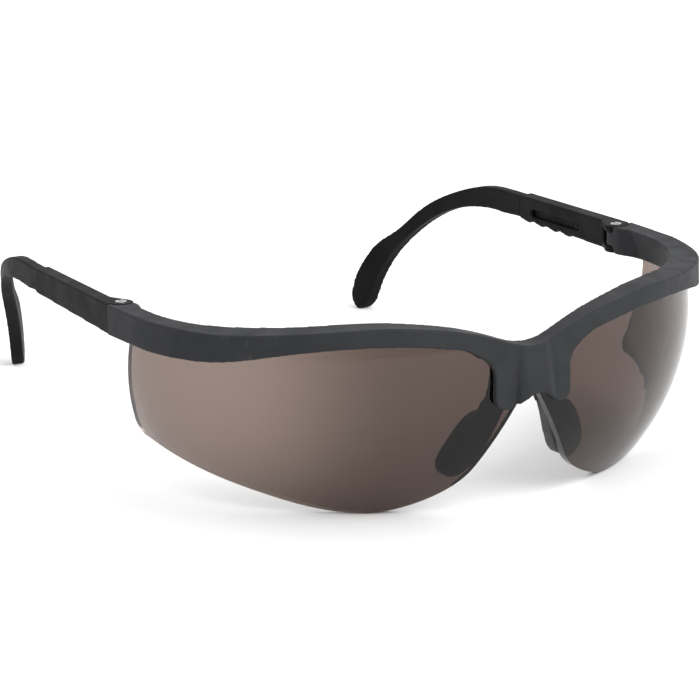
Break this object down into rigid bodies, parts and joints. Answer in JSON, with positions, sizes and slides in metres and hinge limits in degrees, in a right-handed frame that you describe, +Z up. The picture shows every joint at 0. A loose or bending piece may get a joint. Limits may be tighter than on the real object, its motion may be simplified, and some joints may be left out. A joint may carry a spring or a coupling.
{
  "type": "safety glasses",
  "caption": "Half-frame wraparound safety glasses: a smoked shield lens under a brow bar, soft nose pads, and folding temples whose ear hooks slide in notched sleeves.",
  "frame": {"origin": "middle of the bounding box's bottom face, on the table the open glasses rest on", "axes": "+Y from the lens back to the ear hooks, along the temples; +Z up off the table; +X towards the wearer's left"},
  "size_m": [0.14, 0.1636, 0.0459],
  "materials": {
    "frame_nylon": "satin",
    "temple_nylon": "satin",
    "carrier_nylon": "satin",
    "pad_rubber": "matte",
    "smoke_lens": "polished",
    "screw_steel": "polished",
    "nut_brass": "satin"
  },
  "bodies": {
    "front": {"brow_frame": "frame_nylon", "lens": "smoke_lens", "nose_carrier": "carrier_nylon", "nose_pad_left": "pad_rubber", "nose_pad_right": "pad_rubber"},
    "temple_left": {"temple_sleeve_left": "temple_nylon", "hinge_screw_left": "screw_steel", "hinge_nut_left": "nut_brass"},
    "arm_left": {"temple_arm_left": "temple_nylon"},
    "temple_right": {"temple_sleeve_right": "temple_nylon", "hinge_screw_right": "screw_steel", "hinge_nut_right": "nut_brass"},
    "arm_right": {"temple_arm_right": "temple_nylon"}
  },
  "joints": [
    {"name": "temple_fold_left", "type": "hinge", "parent": "front", "child": "temple_left", "pos_m": [0.066, -0.00956, 0.04068], "axis": [0, 0.0495, 0.9988], "range_deg": [0, 90]},
    {"name": "arm_slide_left", "type": "slide", "parent": "temple_left", "child": "arm_left", "axis": [-0.0488, 0.9976, -0.0495], "range_m": [0, 0.0168]},
    {"name": "temple_fold_right", "type": "hinge", "parent": "front", "child": "temple_right", "pos_m": [-0.066, -0.00956, 0.04068], "axis": [0, -0.0495, -0.9988], "range_deg": [0, 76]},
    {"name": "arm_slide_right", "type": "slide", "parent": "temple_right", "child": "arm_right", "axis": [0.0488, 0.9976, -0.0495], "range_m": [0, 0.0168]}
  ]
}
